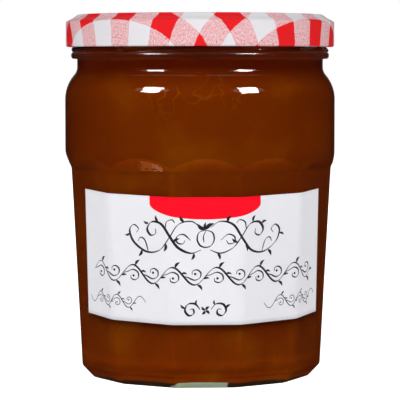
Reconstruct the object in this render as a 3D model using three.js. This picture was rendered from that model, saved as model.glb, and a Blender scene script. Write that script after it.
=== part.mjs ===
// A twelve-sided glass jar of apricot jam with a twist-off lid and a paper label.
// Millimetres, +Z up, origin in the middle of the base. The front faces -Y.
import * as THREE from 'three';

// jar body
const facetCount = 12;
const facetTurn = THREE.MathUtils.degToRad(2.9);
const bodyRadius = 43.45;
const baseApothem = 34.5;
const heelApothem = 38.15;
const heelHeight = 4.0;
const creaseApothem = 41.4;
const creaseHeight = 67.3;
const archHeight = 71.6;
const outerCornerRadius = 7;
const innerCornerRadius = 8;
const glassWall = 2.2;

// base
const pushUpRadius = 24;
const pushUpHeight = 1.6;
const bearingInnerRadius = 29.5;
const floorHeight = 4.2;
const innerHeelRadius = 4.5;

// shoulder and neck
const shoulderHeight = 88.9;
const shoulderRadius = 12.0;
const shoulderSweep = THREE.MathUtils.degToRad(41);
const neckRadius = 39.45;
const boreRadius = 37.2;
const beadRadius = 1.1;
const beadOuterRadius = 41.5;
const beadHeight = 102.8;

// finish, the threaded rim that takes the lid
const finishRadius = 39.6;
const rimHeight = 113.9;
const rimRounding = 1.2;
const lugCount = 6;
const lugDepth = 1.75;
const lugWidth = 2.8;
const lugFootHeight = 103.75;
const lugRise = 3.2;
const lugStart = THREE.MathUtils.degToRad(-42);
const lugSweep = THREE.MathUtils.degToRad(54);
const threadBottom = 104.0;
const threadTop = 109.2;
const threadSteps = 8;

// jam
const jamGap = 0.3;
const jamLevel = 107;

// lid
const lidRadius = 43.15;
const lidBottom = 105.5;
const lidTop = 115.85;
const lidWall = 0.7;
const lidRimOuter = 39.2;
const lidRimInner = 33.2;
const bevelBreakRadius = 40.85;
const bevelBreakDrop = 1.15;
const bevelDrop = 2.3;
const panelDrop = 0.6;
const buttonRadius = 10;
const buttonDrop = 0.25;
const curlRadius = 0.6;
const lidUnderside = 114.2;

// label
const labelLength = 92.1;
const labelBottom = 20.2;
const labelTop = 59.6;
const labelShift = -0.3;
const labelLean = 0.3;
const labelGap = 0.3;
const labelThickness = 0.3;

const halfFacet = Math.PI / facetCount;
const facetTaper = Math.atan((creaseApothem - heelApothem) / (creaseHeight - heelHeight));
const apexHeight = heelHeight - heelApothem / Math.tan(facetTaper);

// Angles from a facet's middle at which each ring has a point: four flat strips and a rounded corner
const flatEnd = Math.atan((1 - outerCornerRadius / creaseApothem) * Math.tan(halfFacet));
const facetSteps = [-flatEnd, -flatEnd / 2, 0, flatEnd / 2, flatEnd, halfFacet];

// Radius of a rounded regular polygon that is cut back to a circle
function sectionRadius(angle, apothem, cornerRadius, roundRadius) {
  const offset = Math.abs(angle);
  const cornerReach = (apothem - cornerRadius) / Math.cos(halfFacet);
  const straightEnd = Math.atan(((apothem - cornerRadius) * Math.tan(halfFacet)) / apothem);
  let radius = apothem / Math.cos(offset);
  if (offset > straightEnd) {
    const toCorner = halfFacet - offset;
    const aside = cornerReach * Math.sin(toCorner);
    radius = cornerReach * Math.cos(toCorner) + Math.sqrt(cornerRadius ** 2 - aside ** 2);
  }
  return Math.min(radius, roundRadius);
}

// A station is one level of a lofted wall: a faceted section, or a round one
function facetStation(height, apothem, cornerRadius, roundRadius) {
  return { height, radiusAt: (angle) => sectionRadius(angle, apothem, cornerRadius, roundRadius) };
}

function roundStation(radius, height) {
  return { height, radiusAt: () => radius };
}

function arcStations(centreRadius, centreHeight, radius, fromAngle, toAngle, steps) {
  const stations = [];
  for (let step = 0; step <= steps; step += 1) {
    const angle = fromAngle + ((toAngle - fromAngle) * step) / steps;
    const ringRadius = centreRadius + radius * Math.cos(angle);
    stations.push(roundStation(ringRadius, centreHeight + radius * Math.sin(angle)));
  }
  return stations;
}

function ringPoints(station) {
  const points = [];
  for (let facet = 0; facet < facetCount; facet += 1) {
    for (const step of facetSteps) {
      const azimuth = facetTurn + facet * 2 * halfFacet + step;
      const radius = station.radiusAt(step, azimuth);
      points.push(radius * Math.sin(azimuth), -radius * Math.cos(azimuth), station.height);
    }
  }
  return points;
}

// Closed body from a stack of rings, with a middle point at each end.
// The stations run from the axis below, up the outside, and back to the axis.
function loftGeometry(stations, firstHeight, lastHeight) {
  const ringSize = facetCount * facetSteps.length;
  const positions = [0, 0, firstHeight];
  for (const station of stations) {
    positions.push(...ringPoints(station));
  }
  positions.push(0, 0, lastHeight);
  const lastPoint = positions.length / 3 - 1;
  const indices = [];
  for (let i = 0; i < ringSize; i += 1) {
    const next = (i + 1) % ringSize;
    indices.push(0, 1 + next, 1 + i);
    for (let ring = 0; ring < stations.length - 1; ring += 1) {
      const low = 1 + ring * ringSize;
      const high = low + ringSize;
      indices.push(low + i, low + next, high + next);
      indices.push(low + i, high + next, high + i);
    }
    const top = 1 + (stations.length - 1) * ringSize;
    indices.push(top + i, top + next, lastPoint);
  }
  const geometry = new THREE.BufferGeometry();
  geometry.setAttribute('position', new THREE.Float32BufferAttribute(positions, 3));
  geometry.setIndex(indices);
  geometry.computeVertexNormals();
  return geometry;
}

function taperedApothem(height) {
  return (height - apexHeight) * Math.tan(facetTaper);
}

// Facets from the heel up to the crease, then leaning out until only the round body is left
function facetStations(inset, cornerRadius, lowest) {
  const round = bodyRadius - inset;
  const archSteps = 3;
  const stations = [
    facetStation(lowest, taperedApothem(lowest) - inset, cornerRadius, round),
    facetStation(creaseHeight, creaseApothem - inset, cornerRadius, round),
  ];
  for (let step = 1; step <= archSteps; step += 1) {
    const part = step / archSteps;
    const apothem = THREE.MathUtils.lerp(creaseApothem, bodyRadius, part) - inset;
    const height = THREE.MathUtils.lerp(creaseHeight, archHeight, part);
    stations.push(facetStation(height, apothem, cornerRadius, round));
  }
  return stations;
}

// Shoulder turning in from the body, then a fillet that carries it on into the neck
function shoulderStations(inset, neck) {
  const centre = bodyRadius - shoulderRadius;
  const bend = arcStations(centre, shoulderHeight, shoulderRadius - inset, 0, shoulderSweep, 5);
  const bendEnd = centre + (shoulderRadius - inset) * Math.cos(shoulderSweep);
  const filletRadius = (bendEnd - neck) / (1 - Math.cos(shoulderSweep));
  const last = bend[bend.length - 1];
  const rise = filletRadius * Math.sin(shoulderSweep);
  const filletHeight = last.height + rise;
  const fillet = arcStations(
    neck + filletRadius,
    filletHeight,
    filletRadius,
    Math.PI + shoulderSweep,
    Math.PI,
    2
  );
  return [...bend, ...fillet.slice(1)];
}

// Slanted thread lugs round the finish, each rising to the right
function threadStation(height) {
  const pitch = (2 * Math.PI) / lugCount;
  const radiusAt = (step, azimuth) => {
    const turned = azimuth - lugStart;
    const along = (turned - Math.floor(turned / pitch) * pitch) / lugSweep;
    const ends = along < 1 ? Math.min(1, 6 * along, 6 * (1 - along)) : 0;
    const fromRidge = (height - lugFootHeight - lugRise * along) / (lugWidth / 2);
    const ridge = Math.abs(fromRidge) < 1 ? Math.cos((fromRidge * Math.PI) / 2) : 0;
    return finishRadius + lugDepth * ends * ridge;
  };
  return { height, radiusAt };
}

function threadStations() {
  const stations = [];
  for (let step = 0; step <= threadSteps; step += 1) {
    stations.push(threadStation(THREE.MathUtils.lerp(threadBottom, threadTop, step / threadSteps)));
  }
  return stations;
}

function beadStations() {
  const centre = beadOuterRadius - beadRadius;
  return [
    roundStation(neckRadius, beadHeight - beadRadius),
    ...arcStations(centre, beadHeight, beadRadius, -Math.PI / 2, Math.PI / 2, 4),
  ];
}

// Inside of the glass from the floor up to the neck, set in by a further inset for the jam
function cavityStations(inset) {
  const wall = glassWall + inset;
  const floor = floorHeight + inset;
  const stations = [];
  const heelSteps = 3;
  for (let step = 0; step < heelSteps; step += 1) {
    const angle = ((step / heelSteps) * Math.PI) / 2;
    const height = floor + innerHeelRadius * (1 - Math.cos(angle));
    const apothem = taperedApothem(height) - wall - innerHeelRadius * (1 - Math.sin(angle));
    stations.push(facetStation(height, apothem, innerCornerRadius, bodyRadius));
  }
  stations.push(...facetStations(wall, innerCornerRadius, floor + innerHeelRadius));
  stations.push(...shoulderStations(wall, boreRadius - inset));
  return stations;
}

function glassGeometry() {
  const rimMiddle = rimHeight - rimRounding;
  const outside = [
    roundStation(pushUpRadius, pushUpHeight),
    roundStation(bearingInnerRadius, 0),
    facetStation(0, baseApothem, outerCornerRadius, bodyRadius),
    ...facetStations(0, outerCornerRadius, heelHeight),
    ...shoulderStations(0, neckRadius),
    ...beadStations(),
    ...threadStations(),
    ...arcStations(finishRadius - rimRounding, rimMiddle, rimRounding, 0, Math.PI / 2, 2),
  ];
  const inside = [
    ...arcStations(boreRadius + rimRounding, rimMiddle, rimRounding, Math.PI / 2, Math.PI, 2),
    ...cavityStations(0).reverse(),
  ];
  return loftGeometry([...outside, ...inside], pushUpHeight, floorHeight);
}

function jamGeometry() {
  const stations = cavityStations(jamGap);
  stations.push(roundStation(boreRadius - jamGap, jamLevel));
  return loftGeometry(stations, floorHeight + jamGap, jamLevel);
}

// Pressed lid: button, recessed panel, raised rim, bevel, skirt and rolled edge
function lidProfile() {
  const panelTop = lidTop - panelDrop;
  const curlMiddle = lidRadius - curlRadius;
  const skirtInner = lidRadius - lidWall;
  const profile = [
    [0, panelTop - buttonDrop],
    [buttonRadius - 1, panelTop - buttonDrop],
    [buttonRadius, panelTop],
    [lidRimInner - 1, panelTop],
    [lidRimInner, lidTop],
    [lidRimOuter - 0.5, lidTop],
    [lidRimOuter + 0.35, lidTop - 0.3],
    [bevelBreakRadius, lidTop - bevelBreakDrop],
    [lidRadius - 0.6, lidTop - bevelDrop + 0.3],
    [lidRadius - 0.15, lidTop - bevelDrop - 0.05],
    [lidRadius, lidTop - bevelDrop - 0.5],
    [lidRadius, lidBottom + curlRadius],
    [curlMiddle + 0.7 * curlRadius, lidBottom + 0.3 * curlRadius],
    [curlMiddle, lidBottom],
    [curlMiddle - curlRadius, lidBottom + curlRadius],
    [curlMiddle - curlRadius, lidBottom + 2 * curlRadius],
    [skirtInner, lidBottom + 3 * curlRadius],
    [skirtInner, lidTop - bevelDrop - 0.8],
    [lidRadius - 3.2, lidUnderside],
    [0, lidUnderside],
  ];
  return profile.reverse().map(([radius, height]) => new THREE.Vector2(radius, height));
}

function lidGeometry() {
  const lidSegments = 72;
  const geometry = new THREE.LatheGeometry(lidProfile(), lidSegments);
  geometry.rotateX(Math.PI / 2);
  return geometry;
}

// The label is a flat rectangle wrapped round the facets. Their planes meet in a point far
// below, so the flat sheet is laid out in polar form round that point and folded facet by facet.
const slopeOfLabelMiddle = ((labelBottom + labelTop) / 2 - apexHeight) / Math.cos(facetTaper);
const labelRise = (labelTop - labelBottom) / Math.cos(facetTaper);
const unrolledHalfFacet = Math.atan(Math.tan(halfFacet) * Math.sin(facetTaper));

function foldedPoint(across, up, offset) {
  const fromApex = slopeOfLabelMiddle + up;
  const unrolled = Math.atan2(across + labelShift, fromApex);
  const facet = Math.round(unrolled / (2 * unrolledHalfFacet));
  const local = unrolled - facet * 2 * unrolledHalfFacet;
  const reach = Math.hypot(across + labelShift, fromApex);
  const apothem = reach * Math.cos(local) * Math.sin(facetTaper);
  const angle = Math.atan((reach * Math.sin(local)) / apothem);
  const azimuth = facetTurn + facet * 2 * halfFacet + angle;
  const radius = sectionRadius(angle, apothem, outerCornerRadius, bodyRadius) + offset;
  const height = apexHeight + reach * Math.cos(local) * Math.cos(facetTaper);
  return [radius * Math.sin(azimuth), -radius * Math.cos(azimuth), height];
}

// Columns follow the folds between facets. The first and last are the straight ends, which
// lean a little to the right towards the bottom.
function labelColumns() {
  const halfLength = labelLength / 2;
  const columns = [{ bottom: labelLean - halfLength, top: -labelLean - halfLength }];
  for (let facet = -2; facet <= 2; facet += 1) {
    for (const step of facetSteps) {
      const unrolled = facet * 2 * unrolledHalfFacet + Math.atan(Math.tan(step) * Math.sin(facetTaper));
      const bottom = (slopeOfLabelMiddle - labelRise / 2) * Math.tan(unrolled) - labelShift;
      const top = (slopeOfLabelMiddle + labelRise / 2) * Math.tan(unrolled) - labelShift;
      if (Math.max(Math.abs(bottom), Math.abs(top)) < halfLength - 0.8) {
        columns.push({ bottom, top });
      }
    }
  }
  columns.push({ bottom: halfLength + labelLean, top: halfLength - labelLean });
  return columns;
}

function labelGeometry() {
  const inner = labelGap;
  const outer = labelGap + labelThickness;
  const positions = [];
  for (const column of labelColumns()) {
    positions.push(...foldedPoint(column.bottom, -labelRise / 2, inner));
    positions.push(...foldedPoint(column.bottom, -labelRise / 2, outer));
    positions.push(...foldedPoint(column.top, labelRise / 2, outer));
    positions.push(...foldedPoint(column.top, labelRise / 2, inner));
  }
  const sideCount = 4;
  const last = positions.length / 3 - sideCount;
  const indices = [0, 1, 2, 0, 2, 3, last, last + 2, last + 1, last, last + 3, last + 2];
  for (let start = 0; start < last; start += sideCount) {
    for (let side = 0; side < sideCount; side += 1) {
      const a = start + side;
      const b = start + ((side + 1) % sideCount);
      indices.push(a, a + sideCount, b + sideCount);
      indices.push(a, b + sideCount, b);
    }
  }
  const geometry = new THREE.BufferGeometry();
  geometry.setAttribute('position', new THREE.Float32BufferAttribute(positions, 3));
  geometry.setIndex(indices);
  geometry.computeVertexNormals();
  return geometry;
}

const glassMaterial = new THREE.MeshStandardMaterial({
  color: 0xe6eee8,
  roughness: 0.03,
  metalness: 0,
  transparent: true,
  opacity: 0.35,
});
const jamMaterial = new THREE.MeshStandardMaterial({ color: 0x6d2b00, roughness: 0.3, metalness: 0 });
const lidMaterial = new THREE.MeshStandardMaterial({ color: 0xe2a0a4, roughness: 0.35, metalness: 0.2 });
const paperMaterial = new THREE.MeshStandardMaterial({ color: 0xe7e7ec, roughness: 0.8, metalness: 0 });

function namedMesh(name, geometry, material) {
  const mesh = new THREE.Mesh(geometry, material);
  mesh.name = name;
  return mesh;
}

const jar = new THREE.Group();
jar.add(namedMesh('jar_glass', glassGeometry(), glassMaterial));
jar.add(namedMesh('jam', jamGeometry(), jamMaterial));
jar.add(namedMesh('lid', lidGeometry(), lidMaterial));
jar.add(namedMesh('label', labelGeometry(), paperMaterial));

export default jar;
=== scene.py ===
# Twelve-sided glass jar of apricot jam, twist-off gingham lid, folded paper label. Metres.
import bpy
from math import atan, atan2, ceil, cos, floor, hypot, pi, radians, sin, sqrt, tan
from mathutils import Matrix, Vector, noise


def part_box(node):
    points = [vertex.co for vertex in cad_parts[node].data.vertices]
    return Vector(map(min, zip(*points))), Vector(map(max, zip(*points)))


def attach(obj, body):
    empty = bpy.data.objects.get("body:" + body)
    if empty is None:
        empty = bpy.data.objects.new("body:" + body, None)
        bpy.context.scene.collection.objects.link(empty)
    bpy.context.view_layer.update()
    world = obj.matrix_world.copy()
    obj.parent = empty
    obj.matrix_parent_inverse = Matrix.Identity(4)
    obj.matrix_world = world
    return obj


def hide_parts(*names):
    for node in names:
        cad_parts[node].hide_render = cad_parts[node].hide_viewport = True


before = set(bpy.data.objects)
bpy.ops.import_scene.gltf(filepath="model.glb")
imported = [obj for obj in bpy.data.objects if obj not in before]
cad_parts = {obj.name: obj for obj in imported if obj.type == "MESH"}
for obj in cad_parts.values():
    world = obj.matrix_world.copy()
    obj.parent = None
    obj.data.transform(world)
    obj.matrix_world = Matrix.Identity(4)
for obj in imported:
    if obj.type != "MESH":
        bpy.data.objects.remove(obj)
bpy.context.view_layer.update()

lidLow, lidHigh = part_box("lid")
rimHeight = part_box("jar_glass")[1][2]
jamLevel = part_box("jam")[1][2]
mm = 0.001

scene = bpy.context.scene
scene.view_settings.view_transform = "Standard"  # keeps the red and the amber as saturated as the print


# Small maths helpers

def lerp(a, b, t):
    return a + (b - a) * t


def clamp(value, low, high):
    return max(low, min(high, value))


def smoothStep(value):
    t = clamp(value, 0, 1)
    return t * t * (3 - 2 * t)


def spread(first, last, count):
    return [lerp(first, last, i / (count - 1)) for i in range(count)]


# Stretch of a circle or an ellipse, through the given angles
def arc(centre, reach, angles):
    return [Vector((centre[0] + reach[0] * cos(a), centre[1] + reach[1] * sin(a))) for a in angles]


# Point round the jar's axis: azimuth 0 is the front, and it grows to the right
def around(radius, azimuth, height):
    return Vector((radius * sin(azimuth), -radius * cos(azimuth), height))


# Corner list (radius, height, fillet) to a smooth outline
def roundedPath(corners, arcSteps=6):
    points = [Vector(corners[0][:2])]
    for before, corner, after in zip(corners, corners[1:], corners[2:]):
        middle = Vector(corner[:2])
        fillet = corner[2]
        if fillet <= 0:
            points.append(middle)
            continue
        back = (Vector(before[:2]) - middle).normalized()
        ahead = (Vector(after[:2]) - middle).normalized()
        half = back.angle(ahead) / 2
        centre = middle + (back + ahead).normalized() * fillet / sin(half)
        start = middle + back * fillet / tan(half) - centre
        end = middle + ahead * fillet / tan(half) - centre
        sweep = start.angle_signed(end)
        for t in spread(0, 1, arcSteps):
            turned = start.copy()
            turned.rotate(Matrix.Rotation(-sweep * t, 2))
            points.append(centre + turned)
    points.append(Vector(corners[-1][:2]))
    return points


# Long stretches get extra points, so that the surface can wave a little
def divided(path, longest):
    points = [path[0]]
    for a, b in zip(path, path[1:]):
        count = max(1, ceil((b - a).length / longest))
        points += [a.lerp(b, (i + 1) / count) for i in range(count)]
    return points


# Jar glass

jarGlass = {
    "facets": 12,
    "turn": radians(2.9),
    "bodyRadius": 43.45 * mm,
    "baseApothem": 34.5 * mm,
    "heelApothem": 38.15 * mm,
    "heelHeight": 4.0 * mm,
    "creaseApothem": 41.4 * mm,
    "creaseHeight": 67.3 * mm,
    "archHeight": 71.6 * mm,
    "archRunOut": 1.6 * mm,      # how far the facets' slope goes on inside the round body
    "outerCorner": 7 * mm,
    "innerCorner": 8 * mm,
    "archBlend": 0.5 * mm,       # how soft the edge is where a facet runs out into the round body
    "wall": 2.2 * mm,
    "pushUpRadius": 24 * mm,
    "pushUpHeight": 1.6 * mm,
    "bearingInner": 29.5 * mm,
    "floorHeight": 4.2 * mm,
    "innerHeel": 4.5 * mm,
    "shoulderHeight": 88.7 * mm,
    "shoulderRadius": 12.2 * mm,
    "shoulderSweep": radians(41),
    "neckRadius": 39.55 * mm,
    "boreRadius": 37.2 * mm,
    "beadRadius": 1.1 * mm,
    "beadBulge": 0.8 * mm,       # the bead is a little flattened
    "beadOuter": 41.5 * mm,
    "beadHeight": 102.8 * mm,
    "finishRadius": 39.6 * mm,
    "rimRounding": 1.2 * mm,
    "lugCount": 6,
    "lugDepth": 1.75 * mm,
    "lugWidth": 2.8 * mm,
    "lugFoot": 103.75 * mm,
    "lugRise": 3.2 * mm,
    "lugStart": radians(-42),
    "lugSweep": radians(54),
    "threadBottom": 104.0 * mm,
    "threadTop": 109.2 * mm,
    "wave": 0.05 * mm,           # how far the pressed wall wanders
    "waveScale": 55.0,
    "tint": (0.97, 0.985, 0.975, 1),
    "palerTint": (0.985, 0.99, 0.985, 1),
    "tintScale": 30.0,
    "roughness": 0.02,
    "beadRoughness": 0.15,
    "beadReach": (1.2 * mm, 2.0 * mm),
    "rippleScale": 150.0,
    "rippleStrength": 0.10,
    "rippleHeight": 0.3 * mm,
    "ior": 1.5,
}
halfFacet = pi / jarGlass["facets"]
taperRun = jarGlass["creaseHeight"] - jarGlass["heelHeight"]
facetTaper = atan((jarGlass["creaseApothem"] - jarGlass["heelApothem"]) / taperRun)
apexHeight = jarGlass["heelHeight"] - jarGlass["heelApothem"] / tan(facetTaper)
archRun = jarGlass["archHeight"] - jarGlass["creaseHeight"]
archSlope = (jarGlass["bodyRadius"] - jarGlass["creaseApothem"]) / archRun
archEnd = jarGlass["archHeight"] + jarGlass["archRunOut"]

# Angles from a facet's middle: the flat in even steps, then closer ones round the corner
flatEnd = atan((1 - jarGlass["outerCorner"] / jarGlass["creaseApothem"]) * tan(halfFacet))
facetAngles = spread(-flatEnd, flatEnd, 15) + spread(flatEnd, 2 * halfFacet - flatEnd, 8)[1:-1]


# Rounded twelve-sided section, cut back to a circle with a soft edge
def sectionRadius(angle, apothem, cornerRadius, roundRadius, blend=0.0):
    if angle > halfFacet:
        angle -= 2 * halfFacet
    offset = abs(angle)
    reach = (apothem - cornerRadius) / cos(halfFacet)
    straightEnd = atan((apothem - cornerRadius) * tan(halfFacet) / apothem)
    radius = apothem / cos(offset)
    if offset > straightEnd:
        aside = reach * sin(halfFacet - offset)
        radius = reach * cos(halfFacet - offset) + sqrt(cornerRadius ** 2 - aside ** 2)
    if blend <= 0:
        return min(radius, roundRadius)
    share = clamp(0.5 + 0.5 * (roundRadius - radius) / blend, 0, 1)
    return lerp(roundRadius, radius, share) - blend * share * (1 - share)


# A level of a wall is its height and its radius as a function of the angles
def facetLevel(point, cornerRadius, roundRadius):
    apothem, height = point
    blend = jarGlass["archBlend"]
    return height, lambda step, azimuth: sectionRadius(step, apothem, cornerRadius, roundRadius, blend)


def roundLevels(points):
    return [(height, lambda step, azimuth, radius=radius: radius) for radius, height in points]


# Slanted lugs of the twist-off thread, each rising to the right
def threadLevel(height):
    pitch = 2 * pi / jarGlass["lugCount"]

    def radiusAt(step, azimuth):
        along = ((azimuth - jarGlass["lugStart"]) % pitch) / jarGlass["lugSweep"]
        ends = smoothStep(6 * min(along, 1 - along))
        fromRidge = (height - jarGlass["lugFoot"] - jarGlass["lugRise"] * along) * 2 / jarGlass["lugWidth"]
        ridge = cos(clamp(fromRidge, -1, 1) * pi / 2) ** 0.8
        return jarGlass["finishRadius"] + jarGlass["lugDepth"] * ends * ridge

    return height, radiusAt


def facetPoints():
    places = []
    for facet in range(jarGlass["facets"]):
        middle = jarGlass["turn"] + facet * 2 * halfFacet
        places += [(step, middle + step) for step in facetAngles]
    return places


# Faces between stacked rings of points, with a fan to a middle point at each end
def stackFaces(ringCount, ringSize):
    faces = []
    lastRing = 1 + (ringCount - 1) * ringSize
    for i in range(ringSize):
        after = (i + 1) % ringSize
        faces.append((0, 1 + after, 1 + i))
        for low in range(1, lastRing, ringSize):
            high = low + ringSize
            faces.append((low + i, low + after, high + after, high + i))
        faces.append((lastRing + i, lastRing + after, lastRing + ringSize))
    return faces


# Levels of a wall to one closed mesh
def ringMesh(name, levels, firstHeight, lastHeight, wave=0.0):
    places = facetPoints()
    rings = []
    for height, radiusAt in levels:
        points = []
        for step, azimuth in places:
            radius = radiusAt(step, azimuth)
            if wave > 0:
                radius += wave * noise.noise(around(radius, azimuth, height) * jarGlass["waveScale"])
            points.append(around(radius, azimuth, height))
        # Where two outlines join, their shared ring is used once
        if not rings or max((a - b).length for a, b in zip(points, rings[-1])) > 0.001 * mm:
            rings.append(points)
    vertices = [(0, 0, firstHeight)] + [p for points in rings for p in points] + [(0, 0, lastHeight)]
    return smoothObject(name, vertices, stackFaces(len(rings), len(places)))


def smoothObject(name, vertices, faces):
    mesh = bpy.data.meshes.new(name)
    mesh.from_pydata([tuple(v) for v in vertices], [], faces)
    mesh.validate()
    mesh.shade_smooth()
    obj = bpy.data.objects.new(name, mesh)
    scene.collection.objects.link(obj)
    return obj


# Mesh that keeps where each of its points lay on the flat printed sheet
def printedObject(name, vertices, faces, places):
    obj = smoothObject(name, vertices, faces)
    sheetPlace = obj.data.attributes.new("sheetPlace", "FLOAT_VECTOR", "POINT")
    sheetPlace.data.foreach_set("vector", [c for place in places for c in place])
    return obj


# Shoulder outline from the top of the body into the neck, set in by the wall
def shoulderPath(inset, neckRadius):
    centre = (jarGlass["bodyRadius"] - jarGlass["shoulderRadius"], jarGlass["shoulderHeight"])
    bendRadius = jarGlass["shoulderRadius"] - inset
    sweep = jarGlass["shoulderSweep"]
    bend = arc(centre, (bendRadius, bendRadius), spread(0, sweep, 14))
    filletRadius = (bend[-1][0] - neckRadius) / (1 - cos(sweep))
    filletCentre = (neckRadius + filletRadius, bend[-1][1] + filletRadius * sin(sweep))
    return bend + arc(filletCentre, (-filletRadius, -filletRadius), spread(sweep, 0, 8))


def outerLevels():
    body = jarGlass["bodyRadius"]
    bearing = jarGlass["bearingInner"]
    base = [
        (4 * mm, jarGlass["pushUpHeight"], 0),
        (jarGlass["pushUpRadius"], jarGlass["pushUpHeight"], 3 * mm),
        (bearing, 0, 1.5 * mm),
        (bearing + 2 * mm, 0, 0),
    ]
    facets = [
        (bearing + 3.2 * mm, 0, 0),
        (jarGlass["baseApothem"], 0, 0.9 * mm),
        (jarGlass["heelApothem"], jarGlass["heelHeight"], 1.6 * mm),
        (jarGlass["creaseApothem"], jarGlass["creaseHeight"], 1.8 * mm),
        (body + archSlope * jarGlass["archRunOut"], archEnd, 0),
    ]
    shoulder = [Vector((body, archEnd + 0.4 * mm))] + shoulderPath(0, jarGlass["neckRadius"])
    levels = roundLevels(divided(roundedPath(base), 4 * mm))
    levels += [facetLevel(p, jarGlass["outerCorner"], body) for p in archSpaced(roundedPath(facets))]
    levels += roundLevels(divided(shoulder, 2 * mm) + beadPath())
    levels += [threadLevel(height) for height in spread(jarGlass["threadBottom"], jarGlass["threadTop"], 26)]
    return levels


# Close steps where the arches run, wider ones on the long facets
def archSpaced(path):
    closeFrom = jarGlass["creaseHeight"] + 0.8 * mm
    low = [p for p in path if p[1] < closeFrom]
    high = [p for p in path if p[1] >= closeFrom]
    return divided(low, 3 * mm) + divided([low[-1]] + high, 0.3 * mm)[1:]


def beadPath():
    neck = jarGlass["neckRadius"]
    height = jarGlass["beadHeight"]
    half = jarGlass["beadRadius"]
    middle = jarGlass["beadOuter"] - jarGlass["beadBulge"]
    corners = [(neck, height - 2 * half, 0), (neck, height - half, 0.35 * mm), (middle, height - half, 0)]
    bead = arc((middle, height), (jarGlass["beadBulge"], half), spread(-pi / 2, radians(75), 14))
    return roundedPath(corners)[:-1] + bead


# Inside of the glass from the floor up to the neck, inset for the wall
def cavityLevels(inset):
    body = jarGlass["bodyRadius"] - inset
    corner = jarGlass["innerCorner"]
    lowest = jarGlass["floorHeight"] + inset - jarGlass["wall"]
    lowestApothem = (lowest - apexHeight) * tan(facetTaper)
    corners = [
        (12 * mm, lowest, 0),
        (lowestApothem - inset, lowest, jarGlass["innerHeel"]),
        (jarGlass["creaseApothem"] - inset, jarGlass["creaseHeight"], 4 * mm),
        (body + archSlope * jarGlass["archRunOut"], archEnd, 0),
    ]
    path = divided(roundedPath(corners, 9), 2.5 * mm)
    levels = [facetLevel(p, corner if p[0] > 2 * corner else 0.4 * p[0], body) for p in path]
    neck = jarGlass["boreRadius"] + jarGlass["wall"] - inset
    shoulder = [Vector((body, archEnd + 0.6 * mm))] + shoulderPath(inset, neck)
    return levels + roundLevels(divided(shoulder, 3 * mm))


def buildGlass():
    rounding = jarGlass["rimRounding"]
    rimMiddle = rimHeight - rounding
    size = (rounding, rounding)
    rim = arc((jarGlass["finishRadius"] - rounding, rimMiddle), size, spread(0, pi / 2, 6))
    rim += arc((jarGlass["boreRadius"] + rounding, rimMiddle), size, spread(pi / 2, pi, 6))
    levels = outerLevels() + roundLevels(rim) + cavityLevels(jarGlass["wall"])[::-1]
    pushUpMiddle = jarGlass["pushUpHeight"] * 1.08
    return ringMesh("clearJar", levels, pushUpMiddle, jarGlass["floorHeight"], jarGlass["wave"])


# Jam, up to its level behind the lid. It reaches just into the wall, so no air shows.

jamFill = {
    "intoWall": 0.15 * mm,
    "meniscus": 0.8 * mm,
    "meniscusWidth": 5 * mm,
    "deep": (0.147, 0.0208, 0.0002, 1),
    "fruit": (0.245, 0.070, 0.0003, 1),
    # dark serves both the cloudy tone and the painted shade at the sides
    "dark": (0.096, 0.0115, 0.0003, 1),
    # painted shade: darker and redder jam towards the neck, under the lid
    "neck": (0.074, 0.0062, 0.0003, 1),
    # painted light: the jam paler again behind the thread, where the lid shades it
    "threadPaintedLight": (0.170, 0.0180, 0.0005, 1),
    "neckShadeHeights": (91.5 * mm, 99.0 * mm),
    "threadPaintedLightHeights": (101.0 * mm, 103.5 * mm),
    "sideReach": (24 * mm, 44 * mm),
    # painted shade: the jam darker towards the sides
    "sideShade": 0.62,
    "cloudScale": 38.0,
    "cloudDepth": 0.30,
    "fruitScale": 70.0,
    "softFruitScale": 58.0,
    "softFruitShare": 0.28,
    "strandScale": 118.0,
    "strandSize": (1.0, 1.0, 0.65),
    "strandLean": (0.2, 0.6, 0.3),
    "strandWidth": 0.018,
    "strandMiddle": (-3 * mm, 91 * mm),
    "strandReach": (16 * mm, 10 * mm),
    "strandShare": (0.62, 0.05),     # in their middle and far from it
    # painted light: paler behind the arches, a painted highlight along the facet corners, paler towards the
    # base and the heel
    "archPaintedLight": 0.52,
    "archReach": (25 * mm, 34 * mm),
    "archEdge": 0.12 * mm,
    "cornerPaintedHighlight": 0.07,
    "cornerWidth": (0.003, 0.022),
    "basePaintedLight": 0.22,
    "basePaintedLightHeights": (5 * mm, 24 * mm),
    "heelPaintedLight": 0.65,
    "heelPaintedLightHeights": (4.5 * mm, 9.5 * mm),
    # painted light and shade on the underside: a pale strip where daylight comes through the base, dark
    # beside it
    "underside": (0.66, 0.80, 0.56, 1),
    "undersidePaintedShade": (0.045, 0.022, 0.012, 1),
    "undersideTop": 4.14 * mm,
    "undersideReach": 26.6 * mm,
    "undersideFlattening": 0.87,
    "undersideMiddle": -0.3 * mm,
    "undersideHalf": 7.9 * mm,
    "roughness": 0.4,
    "specular": 0.0,
    "scatter": 0.7,
    "scatterDepth": (1.0, 0.35, 0.05),
    "scatterScale": 7 * mm,
}


def buildJam():
    neck = jarGlass["boreRadius"] + jamFill["intoWall"]
    hollow = jamFill["meniscus"]
    surface = [Vector((neck, jamLevel - 2 * mm)), Vector((neck, jamLevel))]
    for t in spread(0.15, 1, 6):
        surface.append(Vector((neck - t * jamFill["meniscusWidth"], jamLevel - hollow * smoothStep(t))))
    levels = cavityLevels(jarGlass["wall"] - jamFill["intoWall"]) + roundLevels(surface)
    return ringMesh("apricotJam", levels, jarGlass["floorHeight"] - jamFill["intoWall"], jamLevel - hollow)


# Lid, pressed from printed sheet

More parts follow.
